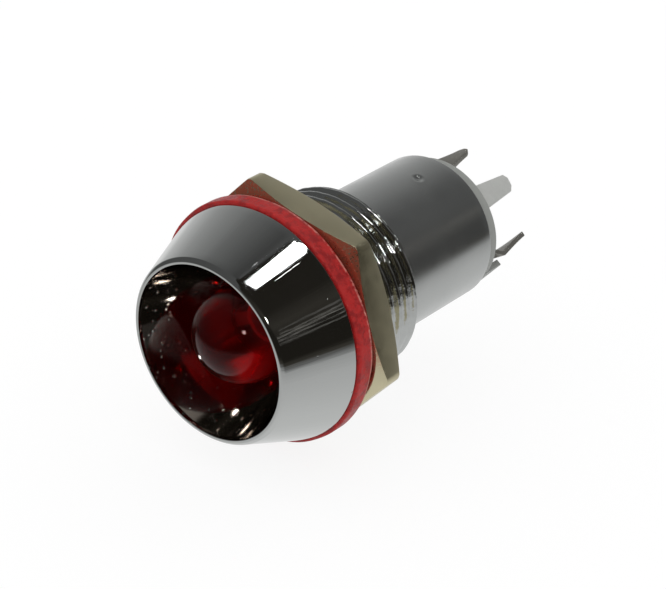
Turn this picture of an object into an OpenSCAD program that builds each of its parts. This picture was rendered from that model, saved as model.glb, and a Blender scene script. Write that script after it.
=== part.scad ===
// Panel pilot light: a chromed one-piece body with a coned head, a concave reflector, a fine-thread
// shank and a plain rear barrel. A red 8 mm lamp stands in the bowl, and three solder tags leave the rear.
// All sizes are millimetres. The lamp lies along Y: the mouth faces -Y and the tags point along +Y.
// The origin is on the axis, in the plane of the head's rear face, which seats on the panel's washer.
// Angles round the axis are counted from +X towards +Z.

/* [Head] */
// Largest diameter of the coned head, at its rear edge
head_d = 20; // [18:0.5:24]
// Length of the head from the mouth to its rear face
head_length = 6; // [4.5:0.25:8]
// Outer diameter of the mouth
mouth_d = 15.6; // [14.8:0.1:17]
// Width of the rounded lip round the mouth
lip_width = 0.5; // [0.4:0.05:0.8]
// Bevel on the head's rear edge
head_bevel = 0.2; // [0.1:0.05:0.4]

/* [Reflector bowl] */
// Depth of the bowl from the mouth to its floor
bowl_depth = 6.8; // [5:0.2:7]
// Radius of the concave curve of the bowl's wall
bowl_curve_r = 25; // [12:1:40]

/* [Shank] */
// Outside diameter of the threaded shank
shank_d = 16; // [14.5:0.5:18]
// Length of the shank behind the head's rear face
shank_length = 10.3; // [7:0.1:12]
// Pitch of the thread, which sets the depth of the relief groove
thread_pitch = 1; // [0.75:0.25:1.25]
// Lead-in chamfer at the shank's end
shank_chamfer = 0.3; // [0.1:0.05:0.6]
// Width of the relief groove between the head and the thread
relief_width = 0.9; // [0.5:0.1:1.2]

/* [Rear barrel] */
// Outside diameter of the plain barrel
barrel_d = 12.85; // [12:0.05:13.5]
// Length of the barrel behind the shank
barrel_length = 12; // [10:0.5:16]
// Bevel on the barrel's rear edge
barrel_bevel = 0.4; // [0.1:0.05:0.5]
// Wall of the barrel
barrel_wall = 0.8; // [0.6:0.05:1.1]
// Diameter of the punched stake mark that holds the terminal base
stake_d = 1; // [0.6:0.1:1.4]
// Depth of the stake mark
stake_depth = 0.35; // [0.2:0.05:0.45]
// Distance of the stake mark from the barrel's rear end
stake_from_end = 3.8; // [2.5:0.1:5]
// Angle of the stake mark round the axis
stake_angle = 78; // [0:1:360]

/* [Lamp] */
// Diameter of the lamp's clear red case
lamp_d = 7.9; // [7:0.1:8.5]
// Length of the lamp's case from its tip to its base
lamp_length = 11; // [10:0.25:12.5]
// Depth of the lamp's tip behind the mouth
lamp_recess = 0.1; // [0:0.1:1]
// Diameter of the flange at the lamp's base
lamp_flange_d = 9.2; // [9:0.1:9.6]
// Thickness of the flange
lamp_flange_t = 1.5; // [1:0.1:1.8]
// Distance between the lamp's two leads
lead_spacing = 2.54; // [2.2:0.02:2.8]
// Width and thickness of a lead
lead_w = 0.5; // [0.4:0.05:0.6]
// Diameter of the cup that carries the chip
chip_cup_d = 2; // [1.6:0.1:2.4]
// Depth of the cup's rim behind the lamp's tip
chip_cup_depth = 5.4; // [4.5:0.1:6.5]
// Turn of the lamp's lead plane round the axis
lamp_turn = 25; // [0:5:355]

/* [Seal and spacer] */
// Thickness of the rubber seal in front of the lamp's flange
seal_t = 0.5; // [0.3:0.1:0.8]
// Length of the spacer from the lamp's base to the board
spacer_length = 6; // [4:0.5:7]
// Thickness of the ledge that bears on the lamp's base
spacer_ledge_t = 2; // [1:0.25:2.5]

/* [Circuit board] */
// Thickness of the round board
board_t = 1; // [0.8:0.1:1.6]
// Length that each wire stands out of the board
wire_stub = 0.8; // [0.5:0.1:1.1]

/* [Components] */
// Diameter of a component's wires
wire_d = 0.5; // [0.4:0.05:0.6]
// Diameter of a resistor's ends
resistor_d = 1.9; // [1.6:0.1:2.2]
// Length of a resistor
resistor_length = 3.4; // [3:0.1:3.8]
// Diameter of the diode's glass
diode_d = 1.8; // [1.6:0.1:2]
// Length of the diode's glass
diode_length = 3.8; // [3.2:0.1:4]
// Width of the diode's cathode band
diode_band_w = 0.6; // [0.4:0.1:0.8]

/* [Terminal base] */
// Thickness of the base's flange behind the barrel
base_flange_t = 1; // [0.6:0.1:1.4]
// Step from the barrel's outside in to the flange
base_flange_step = 0.3; // [0.1:0.05:0.5]
// Depth of the base's plug inside the barrel
base_plug_depth = 3; // [2:0.25:3.5]
// Radial clearance of the pieces inside the barrel
inner_clearance = 0.05; // [0.03:0.01:0.1]
// Wall of the insulating sleeve
sleeve_wall = 0.4; // [0.3:0.05:0.6]
// Height of the small pointed lug on the base's rear face
lug_height = 1.9; // [1:0.1:2.2]
// Thickness of the lug, inwards from the flange's edge
lug_t = 0.55; // [0.4:0.05:0.8]
// Width of the lug at its root
lug_width = 1.8; // [1.4:0.1:2.2]
// Angle of the lug round the axis
lug_angle = -38; // [-60:1:-35]

/* [Solder tags] */
// Angle round the axis of the line through the middle tag
tag_angle = 40; // [30:1:50]
// Distance of the middle tag from the edge of the base's plug
middle_tag_inset = 1.2; // [1:0.05:1.6]
// Distance of each side tag's plane from the edge of the base's plug
side_tag_inset = 1.7; // [1.6:0.05:2]
// Shift of the upper tag along its own plane
upper_tag_shift = 1.6; // [0:0.1:2]
// Gap between the lower tag's corner and the sleeve's bore, which sets its shift along its plane
lower_tag_gap = 0.05; // [0.03:0.01:0.5]
// Width of a tag in its slot through the base
tag_seat_w = 1.4; // [1:0.1:1.8]
// Width of a tag at its root, behind the base
tag_root_w = 2.7; // [2.3:0.1:2.9]
// Width of a tag at its neck, past the flare of the root
tag_neck_w = 2.3; // [1.8:0.1:2.3]
// Width of a tag at its tip
tag_tip_w = 1.6; // [1.2:0.1:1.8]
// Thickness of a tag's sheet
tag_t = 0.5; // [0.4:0.05:0.6]
// Length of a tag behind the base
tag_length = 5.6; // [4:0.2:9]
// Clipped corner at a tag's tip
tag_clip = 0.4; // [0.2:0.05:0.5]
// Length of a tag's inner stub in front of the base
tag_stub = 1; // [0.8:0.1:1.2]
// Distance of a tag's bend from the base
tag_bend_from_base = 1.5; // [1:0.1:2.5]
// Inward shift of the middle tag's tip
middle_tip_shift = -0.4; // [-1:0.1:1]
// Outward shift of the lower tag at its bend
lower_bend_shift = 1; // [-1:0.1:1.2]
// Outward shift of the lower tag's tip
lower_tip_shift = 0.6; // [-1:0.1:1.2]

/* [Nut and washer] */
// Outer diameter of the sealing washer
washer_d = 20.6; // [18.5:0.1:25]
// Thickness of the washer
washer_t = 1.6; // [0.6:0.1:2]
// Width of the nut across its flats
nut_across_flats = 19.4; // [19:0.1:24]
// Thickness of the nut
nut_t = 2.7; // [2:0.1:3.2]
// Slope of the nut's two chamfered faces
nut_chamfer_angle = 22; // [15:1:30]
// Turn of the nut round the axis
nut_turn = -13.5; // [-30:0.5:30]
// Gap between the washer and the nut
nut_gap = 0.5; // [0:0.1:2]
// Radial clearance of the nut and the washer on the shank
shank_clearance = 0.06; // [0.03:0.01:0.1]

/* [Hidden] */
$fn = 72;

// Overlap that carries a cut clear of the face that it opens through
cut = 0.5;

// Radii, from the axis
head_r = head_d / 2;
mouth_r = mouth_d / 2;
mouth_bore_r = mouth_r - lip_width;
shank_r = shank_d / 2;
barrel_r = barrel_d / 2;
bore_r = barrel_r - barrel_wall;
lamp_r = lamp_d / 2;
lamp_hole_r = lamp_r + inner_clearance;
inner_r = bore_r - inner_clearance;
sleeve_bore_r = inner_r - sleeve_wall;
flange_r = lamp_flange_d / 2;
flange_seat_r = flange_r + inner_clearance;
thread_depth = 0.65 * thread_pitch;

// Stations along the axis, counted from the mouth towards the rear
lip_r = lip_width / 2;
shank_end = head_length + shank_length;
barrel_end = shank_end + barrel_length;
lamp_base = lamp_recess + lamp_length;
flange_front = lamp_base - lamp_flange_t;
bore_floor = flange_front - seal_t;
board_front = lamp_base + spacer_length;
board_rear = board_front + board_t;
plug_front = barrel_end - base_plug_depth;
base_rear = barrel_end + base_flange_t;
tag_start = plug_front - tag_stub;
washer_rear = head_length + washer_t;
nut_front = washer_rear + nut_gap;
component_middle = (board_rear + tag_start) / 2;

// Centre of the circle that gives the bowl's wall, through the lip's inner edge and the floor's edge
bowl_rim = [mouth_bore_r, lip_r];
bowl_foot = [lamp_hole_r, bowl_depth];
bowl_chord = bowl_foot - bowl_rim;
bowl_height = sqrt(bowl_curve_r * bowl_curve_r - bowl_chord * bowl_chord / 4);
bowl_across = [-bowl_chord[1], bowl_chord[0]] / norm(bowl_chord);
bowl_centre = (bowl_rim + bowl_foot) / 2 + bowl_across * bowl_height;

// Angles round the axis, seats and clearances of the wired components
tag_turns = [tag_angle + 90, tag_angle, tag_angle - 90];
side_tag_r = inner_r - side_tag_inset;
tag_reach = sqrt(pow(sleeve_bore_r - lower_tag_gap, 2) - pow(side_tag_r + tag_t / 2, 2));
lower_tag_shift = tag_reach - tag_seat_w / 2;
tag_places = [
    [side_tag_r, upper_tag_shift], [inner_r - middle_tag_inset, 0], [side_tag_r, -lower_tag_shift]
];
tag_bends = [[0, 0], [0, middle_tip_shift], [lower_bend_shift, lower_tip_shift]];
wire_r = wire_d / 2;
solder_film = 0.06;
wire_inset = tag_t / 2 + solder_film + wire_r;
hole_clearance = 0.15;
solder_r = 0.65;
band_depth = 0.1;
band_from_end = 0.5;
solder_height = 0.55;
seat_reach = max([for (place = tag_places) norm([place[0] - wire_inset, place[1]])]);

// Puts what is drawn along Z, from the mouth, on the lamp's own axis
module along_axis(z = 0) {
    rotate([-90, 0, 0])
        translate([0, 0, z - head_length])
            children();
}

// Puts what is drawn on +X at an angle round the axis, as along_axis sees it
module at_angle(angle) {
    rotate([0, 0, -angle])
        children();
}

// Solid of revolution from a half section of radius and station
module turned(z = 0) {
    along_axis(z)
        rotate_extrude()
            children();
}

// Round rod from one station to another
module rod(r, z0, z1) {
    translate([0, 0, z0])
        cylinder(r = r, h = z1 - z0);
}

// Tube from one station to another
module tube(outer_r, inner_r, z0, z1) {
    along_axis()
        difference() {
            rod(outer_r, z0, z1);
            rod(inner_r, z0 - cut, z1 + cut);
        }
}

// Half section of the one-piece body, without its mouth, bores and groove
module body_outline() {
    translate([mouth_r - lip_r, lip_r])
        circle(r = lip_r);
    polygon([
        [0, lip_r], [mouth_r, lip_r],
        [head_r, head_length - head_bevel], [head_r - head_bevel, head_length],
        [shank_r, head_length], [shank_r, shank_end - shank_chamfer],
        [shank_r - shank_chamfer, shank_end], [barrel_r, shank_end],
        [barrel_r, barrel_end - barrel_bevel], [barrel_r - barrel_bevel, barrel_end], [0, barrel_end]
    ]);
}

// Half section of what is cut out of the body
module body_hollow() {
    translate(bowl_centre)
        circle(r = bowl_curve_r, $fn = 144);
    translate([0, -cut])
        square([mouth_bore_r, lip_r + cut]);
    translate([0, bowl_depth - cut])
        square([lamp_hole_r, bore_floor - bowl_depth + 2 * cut]);
    translate([0, bore_floor])
        square([bore_r, barrel_end - bore_floor + cut]);
    translate([shank_r - thread_depth, head_length])
        square([thread_depth + cut, relief_width]);
}

// Chromed body: coned head, concave reflector, threaded shank and barrel, turned in one piece
module bezel_body() {
    color([0.72, 0.74, 0.74])
        difference() {
            turned()
                difference() {
                    body_outline();
                    body_hollow();
                }
            along_axis(barrel_end - stake_from_end)
                at_angle(stake_angle)
                    translate([barrel_r - stake_depth, 0, 0])
                        rotate([0, 90, 0])
                            cylinder(r1 = stake_d * 0.1, r2 = stake_d * 0.75, h = stake_depth * 1.6);
        }
}

// Outline of the lamp's clear case: a round nose, a straight side and a flange
module lamp_outline() {
    intersection() {
        union() {
            translate([0, lamp_recess + lamp_r])
                circle(r = lamp_r);
            translate([0, lamp_recess + lamp_r])
                square([lamp_r, lamp_length - lamp_r]);
            translate([0, flange_front])
                square([flange_r, lamp_flange_t]);
        }
        square([flange_r, lamp_base]);
    }
}

// Clear red case of the lamp, with the flat on its flange that marks the cathode
module led_lens() {
    color([0.75, 0.03, 0.03, 0.7])
        difference() {
            turned()
                lamp_outline();
            along_axis()
                at_angle(lamp_turn)
                    translate([lamp_r + (flange_r - lamp_r) / 2, -flange_r, flange_front - cut])
                        cube([flange_r, 2 * flange_r, lamp_flange_t + 2 * cut]);
            led_cathode_frame();
            led_anode_frame();
        }
}

// Flat plate of the lead frame, drawn as across-and-along points in the lead plane
module frame_plate(points) {
    along_axis()
        at_angle(lamp_turn)
            translate([0, lead_w / 2, 0])
                rotate([90, 0, 0])
                    linear_extrude(height = lead_w)
                        polygon(points);
}

// Cathode lead: straight leg, broad anvil and the cup for the chip
module led_cathode_frame() {
    cup_r = chip_cup_d / 2;
    cup_front = lamp_recess + chip_cup_depth;
    cup_rear = cup_front + cup_r;
    leg_out = lead_spacing / 2 + lead_w / 2;
    leg_in = lead_spacing / 2 - lead_w / 2;
    lead_end = board_rear + wire_stub;
    difference() {
        union() {
            frame_plate([
                [-cup_r * 0.6, cup_rear - cup_r * 0.2], [cup_r, cup_rear - cup_r * 0.2],
                [leg_out, cup_rear + cup_r * 0.8], [leg_out, lead_end], [leg_in, lead_end],
                [leg_in, flange_front], [-cup_r * 0.6, cup_rear + cup_r * 0.9]
            ]);
            along_axis()
                rod(cup_r, cup_front, cup_rear);
        }
        along_axis(cup_front)
            cylinder(r1 = cup_r * 0.8, r2 = cup_r * 0.4, h = cup_r * 0.55);
    }
}

// Anode lead: straight leg and a narrow post beside the cup
module led_anode_frame() {
    leg_out = -lead_spacing / 2 - lead_w / 2;
    leg_in = -lead_spacing / 2 + lead_w / 2;
    cup_r = chip_cup_d / 2;
    post_out = -cup_r * 2.1;
    post_in = -cup_r * 1.25;
    post_front = lamp_recess + chip_cup_depth + cup_r * 0.3;
    lead_end = board_rear + wire_stub;
    frame_plate([
        [post_out, post_front], [post_in, post_front + cup_r * 0.2], [post_in, post_front + cup_r * 1.6],
        [leg_in, flange_front], [leg_in, lead_end], [leg_out, lead_end],
        [leg_out, flange_front], [post_out, post_front + cup_r * 1.6]
    ]);
}

module led_cathode_lead() {
    color([0.7, 0.7, 0.68])
        led_cathode_frame();
}

module led_anode_lead() {
    color([0.7, 0.7, 0.68])
        led_anode_frame();
}

// Rubber ring between the lamp's flange and the web behind the bowl
module led_seal() {
    color([0.08, 0.08, 0.08])
        tube(inner_r, lamp_hole_r, bore_floor, flange_front);
}

// Nylon spacer: it cups the lamp's flange, bears on its base and reaches to the board
module spacer_sleeve() {
    ledge_r = lamp_r - 0.15;
    rear_r = seat_reach + solder_r + hole_clearance;
    color([0.9, 0.9, 0.86])
        turned()
            difference() {
                translate([0, flange_front])
                    square([inner_r, board_front - flange_front]);
                translate([0, flange_front - cut])
                    square([flange_seat_r, lamp_flange_t + cut]);
                translate([0, lamp_base - cut])
                    square([ledge_r, spacer_ledge_t + 2 * cut]);
                translate([0, lamp_base + spacer_ledge_t])
                    square([rear_r, spacer_length]);
            }
}

// Round board with its holes for the lamp's leads and the components' wires
module circuit_board() {
    color([0.15, 0.35, 0.2])
        along_axis()
            difference() {
                rod(inner_r, board_front, board_rear);
                at_angle(lamp_turn)
                    for (side = [-1, 1])
                        translate([side * lead_spacing / 2, 0, 0])
                            rod(lead_w * 0.75 + hole_clearance, board_front - cut, board_rear + cut);
                for (i = [0:2])
                    on_tag(i, wire_inset)
                        rod(wire_r + hole_clearance, board_front - cut, board_rear + cut);
            }
}

// Puts what is drawn round a tag's middle in its place, inset towards the axis, as along_axis sees it
module on_tag(i, inset = 0) {
    at_angle(tag_turns[i])
        translate([tag_places[i][0] - inset, tag_places[i][1], 0])
            children();
}

// Places a component's parts over its hole in the board, in line with its tag
module at_seat(i) {
    along_axis()
        on_tag(i, wire_inset)
            children();
}

// Resistor body with its two fuller ends
module resistor_body(i) {
    end_length = resistor_length * 0.26;
    at_seat(i)
        translate([0, 0, component_middle - resistor_length / 2])
            rotate_extrude()
                polygon([
                    [0, 0], [resistor_d * 0.4, 0], [resistor_d / 2, 0.2], [resistor_d / 2, end_length],
                    [resistor_d * 0.42, end_length + 0.25],
                    [resistor_d * 0.42, resistor_length - end_length - 0.25],
                    [resistor_d / 2, resistor_length - end_length], [resistor_d / 2, resistor_length - 0.2],
                    [resistor_d * 0.4, resistor_length], [0, resistor_length]
                ]);
}

// Two wires of a component, from the board's front stub to the tag's inner end
module component_wires(i, body_length) {
    at_seat(i) {
        rod(wire_r, board_front - wire_stub, component_middle - body_length / 2);
        rod(wire_r, component_middle + body_length / 2, plug_front - tag_stub * 0.2);
    }
}

module resistor_1_body() {
    color([0.76, 0.66, 0.48])
        resistor_body(0);
}

module resistor_1_wires() {
    color([0.75, 0.75, 0.73])
        component_wires(0, resistor_length);
}

module resistor_2_body() {
    color([0.76, 0.66, 0.48])
        resistor_body(1);
}

module resistor_2_wires() {
    color([0.75, 0.75, 0.73])
        component_wires(1, resistor_length);
}

// Diode's glass with a bevel at each end, grooved for its band
module diode_body() {
    color([0.75, 0.4, 0.2])
        at_seat(2)
            translate([0, 0, component_middle - diode_length / 2])
                rotate_extrude()
                    difference() {
                        polygon([
                            [0, 0], [diode_d * 0.35, 0], [diode_d / 2, 0.3], [diode_d / 2, diode_length - 0.3],
                            [diode_d * 0.35, diode_length], [0, diode_length]
                        ]);
                        translate([diode_d / 2 - band_depth, band_from_end])
                            square([diode_d, diode_band_w]);
                    }
}

// Painted band on the diode's cathode end
module diode_band() {
    color([0.1, 0.1, 0.1])
        at_seat(2)
            translate([0, 0, component_middle - diode_length / 2 + band_from_end])
                difference() {
                    cylinder(r = diode_d / 2, h = diode_band_w);
                    translate([0, 0, -cut])
                        cylinder(r = diode_d / 2 - band_depth, h = diode_band_w + 2 * cut);
                }
}

module diode_wires() {
    color([0.75, 0.75, 0.73])
        component_wires(2, diode_length);
}

// Thin sleeve that lines the barrel round the components
module insulating_sleeve() {
    color([0.85, 0.8, 0.6])
        tube(inner_r, sleeve_bore_r, board_rear, plug_front);
}

// Outline of a tag seen flat: a stub through the base, a flared root, then a taper to a clipped tip
module tag_outline() {
    tip = base_rear + tag_length;
    neck = base_rear + (tag_root_w - tag_neck_w) * 1.5;
    edge = [
        [tag_seat_w / 2, tag_start], [tag_seat_w / 2, base_rear], [tag_root_w / 2, base_rear],
        [tag_neck_w / 2, neck], [tag_tip_w / 2, tip - tag_clip], [tag_tip_w / 2 - tag_clip, tip]
    ];
    polygon(concat(edge, [for (i = [len(edge) - 1:-1:0]) [-edge[i][0], edge[i][1]]]));
}

// Side view of a tag: straight through the base, then along to its bend and on to its tip
module tag_side(bend_shift, tip_shift) {
    bend = base_rear + tag_bend_from_base;
    tip = base_rear + tag_length;
    half_t = tag_t / 2;
    polygon([
        [half_t, tag_start], [half_t, base_rear], [half_t + bend_shift, bend], [half_t + tip_shift, tip],
        [tip_shift - half_t, tip], [bend_shift - half_t, bend], [-half_t, base_rear], [-half_t, tag_start]
    ]);
}

// Sheet-metal tag in its seat: what its outline and its side view share
module solder_tag(i) {
    along_axis()
        on_tag(i)
            intersection() {
                translate([-tag_root_w, 0, 0])
                    rotate([90, 0, 90])
                        linear_extrude(height = 2 * tag_root_w)
                            tag_outline();
                translate([0, tag_root_w, 0])
                    rotate([90, 0, 0])
                        linear_extrude(height = 2 * tag_root_w)
                            tag_side(tag_bends[i][0], tag_bends[i][1]);
            }
}

module solder_tag_upper() {
    color([0.55, 0.54, 0.5])
        solder_tag(0);
}

module solder_tag_middle() {
    color([0.7, 0.71, 0.69])
        solder_tag(1);
}

module solder_tag_lower() {
    color([0.5, 0.5, 0.48])
        solder_tag(2);
}

// Insulating base: a plug in the barrel, a flange behind it, a small pointed lug and the tags' slots
module terminal_base() {
    flange_edge_r = barrel_r - base_flange_step;
    color([0.82, 0.82, 0.78])
        difference() {
            along_axis() {
                rod(inner_r, plug_front, barrel_end);
                rod(flange_edge_r, barrel_end, base_rear);
                intersection() {
                    rod(flange_edge_r, barrel_end, base_rear + lug_height);
                    at_angle(lug_angle)
                        translate([flange_edge_r - lug_t, 0, 0])
                            rotate([90, 0, 90])
                                linear_extrude(height = lug_t)
                                    polygon([
                                        [-lug_width / 2, barrel_end], [lug_width / 2, barrel_end],
                                        [lug_width / 2, base_rear], [-lug_width / 2, base_rear + lug_height]
                                    ]);
                }
            }
            for (i = [0:2])
                solder_tag(i);
        }
}

// Cone of solder round a wire or lead, on the board
module solder_cone(z, height, hole_r) {
    translate([0, 0, z])
        difference() {
            cylinder(r1 = solder_r, r2 = hole_r + 0.08, h = height);
            translate([0, 0, -cut])
                cylinder(r = hole_r, h = height + 2 * cut);
        }
}

// Solder on the board round each lead and wire, and on the tags' inner ends
module solder_joints() {
    color([0.78, 0.78, 0.76]) {
        along_axis()
            at_angle(lamp_turn)
                for (side = [-1, 1])
                    translate([side * lead_spacing / 2, 0, 0])
                        solder_cone(board_rear, solder_height, lead_w * 0.71);
        for (i = [0:2]) {
            at_seat(i)
                mirror([0, 0, 1])
                    solder_cone(-board_front, solder_height, wire_r);
            difference() {
                at_seat(i)
                    translate([0, 0, plug_front - tag_stub / 2])
                        sphere(r = tag_stub * 0.45);
                at_seat(i)
                    rod(wire_r, tag_start - tag_stub, plug_front);
                solder_tag(i);
            }
        }
    }
}

// Red sealing washer with a softly rounded edge
module sealing_washer() {
    edge_r = washer_t * 0.3;
    washer_r = washer_d / 2;
    bore = shank_r + shank_clearance;
    color([0.7, 0.1, 0.12])
        turned(head_length)
            union() {
                translate([bore, 0])
                    square([washer_r - edge_r - bore, washer_t]);
                translate([washer_r - edge_r, edge_r])
                    square([edge_r, washer_t - 2 * edge_r]);
                for (z = [edge_r, washer_t - edge_r])
                    translate([washer_r - edge_r, z])
                        circle(r = edge_r);
            }
}

// Half section that chamfers the nut's corners on both faces and opens its bore
module nut_section() {
    flat_r = nut_across_flats / 2 - 0.1;
    corner_r = nut_across_flats / sqrt(3) + cut;
    drop = (corner_r - flat_r) * tan(nut_chamfer_angle);
    bore = shank_r + shank_clearance;
    bevel = thread_depth;
    polygon([
        [bore + bevel, 0], [flat_r, 0], [corner_r, drop], [corner_r, nut_t - drop],
        [flat_r, nut_t], [bore + bevel, nut_t], [bore, nut_t - bevel], [bore, bevel]
    ]);
}

// Thin hexagon nut, chamfered on both faces
module hex_nut() {
    color([0.5, 0.48, 0.4])
        along_axis(nut_front)
            intersection() {
                at_angle(nut_turn)
                    cylinder(d = nut_across_flats * 2 / sqrt(3), h = nut_t, $fn = 6);
                rotate_extrude()
                    nut_section();
            }
}

bezel_body();
led_lens();
led_cathode_lead();
led_anode_lead();
led_seal();
spacer_sleeve();
circuit_board();
resistor_1_body();
resistor_1_wires();
resistor_2_body();
resistor_2_wires();
diode_body();
diode_band();
diode_wires();
insulating_sleeve();
terminal_base();
solder_tag_upper();
solder_tag_middle();
solder_tag_lower();
solder_joints();
sealing_washer();
hex_nut();
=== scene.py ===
"""Looks of the panel pilot light: its surfaces, its finishes and the small studio round it.

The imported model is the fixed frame. Lengths here are millimetres on the lamp's own axis and are turned
into metres where a mesh is made. A point of a turned piece is given by its radius, its station along
+Y counted from the head's rear face, and its angle round the axis from +X towards +Z.
"""

from __future__ import annotations

import logging
import math
from dataclasses import dataclass
from enum import Enum

import bmesh
import bpy
import numpy as np
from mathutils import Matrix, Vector

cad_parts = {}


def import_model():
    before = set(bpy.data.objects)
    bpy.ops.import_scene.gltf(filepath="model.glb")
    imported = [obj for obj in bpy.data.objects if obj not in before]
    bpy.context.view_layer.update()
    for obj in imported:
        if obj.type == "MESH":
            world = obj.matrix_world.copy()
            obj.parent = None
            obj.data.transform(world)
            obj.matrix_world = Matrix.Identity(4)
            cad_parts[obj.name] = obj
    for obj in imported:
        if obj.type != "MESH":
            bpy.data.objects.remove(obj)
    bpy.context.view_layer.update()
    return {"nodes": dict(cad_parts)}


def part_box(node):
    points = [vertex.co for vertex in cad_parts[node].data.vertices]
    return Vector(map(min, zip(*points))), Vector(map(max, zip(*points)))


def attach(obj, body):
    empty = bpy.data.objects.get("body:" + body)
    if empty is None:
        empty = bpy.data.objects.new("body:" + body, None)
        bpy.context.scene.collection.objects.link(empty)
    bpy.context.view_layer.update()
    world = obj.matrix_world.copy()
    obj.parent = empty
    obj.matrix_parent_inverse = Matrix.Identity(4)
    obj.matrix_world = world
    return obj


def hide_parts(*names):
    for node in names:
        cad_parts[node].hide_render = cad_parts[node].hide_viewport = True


LOG = logging.getLogger("pilot_light")
MM = 0.001
Array = np.ndarray
Colour = tuple[float, float, float]
Stops = tuple[tuple[float, float], ...]
Waves = tuple[tuple[float, int, float], ...]
WHITE: Colour = (1.0, 1.0, 1.0)
BARREL_BORE_R = 5.625
LUG_HEIGHT = 1.9


class Body(Enum):
    """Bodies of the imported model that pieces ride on."""

    LAMP = "lamp"
    NUT = "nut"


# ---------------------------------------------------------------- profiles and surfaces


def smoothstep(x: Array, low: float, high: float) -> Array:
    """Rises from 0 at low to 1 at high, along 3t^2 - 2t^3 with t = (x - low) / (high - low)."""
    t = np.clip((x - low) / (high - low), 0.0, 1.0)
    return t * t * (3.0 - 2.0 * t)


def rounded_path(corners: list[tuple[float, float, float]], closed: bool, steps: int = 5) -> Array:
    """Polyline whose corners are rounded by quadratic curves.

    Each corner is (radius, station, round). The curve leaves the incoming side one round before the
    corner and joins the outgoing side one round after it: (1-t)^2 A + 2t(1-t) C + t^2 B.

    Args:
        corners: Corner points with the length that each rounding takes from its sides.
        closed: True where the last corner joins the first.
        steps: Points along each rounding.

    Returns:
        Points as an (n, 2) array.
    """
    points = np.array([c[:2] for c in corners], float)
    rounds = np.array([c[2] for c in corners], float)
    before = np.roll(points, 1, axis=0) - points
    after = np.roll(points, -1, axis=0) - points
    t = np.linspace(0.0, 1.0, steps)[:, None]
    pieces = []
    for i, (point, cut) in enumerate(zip(points, rounds)):
        ends = not closed and i in (0, len(points) - 1)
        if cut <= 0.0 or ends:
            pieces.append(point[None])
            continue
        start = point + before[i] / np.linalg.norm(before[i]) * cut
        stop = point + after[i] / np.linalg.norm(after[i]) * cut
        pieces.append((1 - t) ** 2 * start + 2 * t * (1 - t) * point + t**2 * stop)
    return np.vstack(pieces)


def arc(centre: tuple[float, float], radius: float, start: float, stop: float, count: int) -> Array:
    """Points on a circle: centre + radius (cos a, sin a), with a from start to stop in degrees."""
    a = np.radians(np.linspace(start, stop, count))
    return np.column_stack([centre[0] + radius * np.cos(a), centre[1] + radius * np.sin(a)])


def resampled(path: Array, step: float, closed: bool) -> Array:
    """Adds points to a polyline, so that no side is longer than step.

    Args:
        path: Points as an (n, 2) array.
        step: Longest side wanted.
        closed: True where the last point joins the first.

    Returns:
        The denser polyline.
    """
    ends = np.roll(path, -1, axis=0) if closed else path[1:]
    starts = path if closed else path[:-1]
    parts = []
    for a, b in zip(starts, ends):
        count = max(1, math.ceil(float(np.linalg.norm(b - a)) / step))
        parts.append(a + (b - a) * np.linspace(0.0, 1.0, count, endpoint=False)[:, None])
    if not closed:
        parts.append(path[-1:])
    return np.vstack(parts)


def turned_grid(radius: Array, station: Array, rings: int) -> Array:
    """Points (r cos a, s, r sin a) of a turned surface, with a in even steps round the axis."""
    angles = np.linspace(0.0, 2 * np.pi, rings, endpoint=False)[:, None]
    return np.stack([radius * np.cos(angles), station + 0 * angles, radius * np.sin(angles)], -1)


def turned_place(out: Array, sideways: Array, degrees: float) -> tuple[Array, Array]:
    """X and Z of places that lie out from the axis and sideways, at an angle round it from +X towards +Z."""
    a = math.radians(degrees)
    return out * math.cos(a) + sideways * math.sin(a), out * math.sin(a) - sideways * math.cos(a)


def wavy(angle: Array, waves: Waves, along: Array | float) -> Array:
    """Sum of height sin(count angle + phase along) over the waves, with the angle in radians."""
    return sum(height * np.sin(count * angle + phase * along) for height, count, phase in waves)


@dataclass
class Patch:
    """Grid of points, open or closed in either direction, that becomes quads.

    Attributes:
        points: (rings, steps, 3) array in millimetres.
        wrap_*: True where the last ring or step joins the first.
    """

    points: Array
    wrap_rings: bool = True
    wrap_steps: bool = False

    def vertices(self) -> Array:
        """Points as one (n, 3) array."""
        return self.points.reshape(-1, 3)

    def faces(self) -> Array:
        """Quads that join step to step and ring to ring, facing along step x ring."""
        rings, steps = self.points.shape[:2]
        index = np.arange(rings * steps).reshape(rings, steps)
        if self.wrap_rings:
            index = np.vstack([index, index[:1]])
        if self.wrap_steps:
            index = np.hstack([index, index[:, :1]])
        quads = np.stack([index[:-1, :-1], index[:-1, 1:], index[1:, 1:], index[1:, :-1]], -1)
        return quads.reshape(-1, 4)


def span(box: tuple[Vector, Vector]) -> tuple[float, float]:
    """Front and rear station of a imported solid, in millimetres."""
    return box[0].y / MM, box[1].y / MM


def volume(points: Array) -> float:
    """Signed volume inside a closed tube of quads: a sixth of the sum of a . (b x c) over its triangles.

    Args:
        points: (sections, points round each, 3) array.

    Returns:
        The volume, which is below zero where the quads look inwards.
    """
    a, b = points[:-1], np.roll(points[:-1], -1, axis=1)
    c, d = np.roll(points[1:], -1, axis=1), points[1:]
    halves = np.einsum("ijk,ijk->", a, np.cross(b, c)) + np.einsum("ijk,ijk->", a, np.cross(c, d))
    return float(halves) / 6.0


def tube(sections: Array) -> Patch:
    """Closed skin over sections whose first and last have shrunk to a point, facing outwards."""
    outward = sections if volume(sections) > 0.0 else sections[::-1]
    return Patch(outward, wrap_rings=False, wrap_steps=True)


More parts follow.
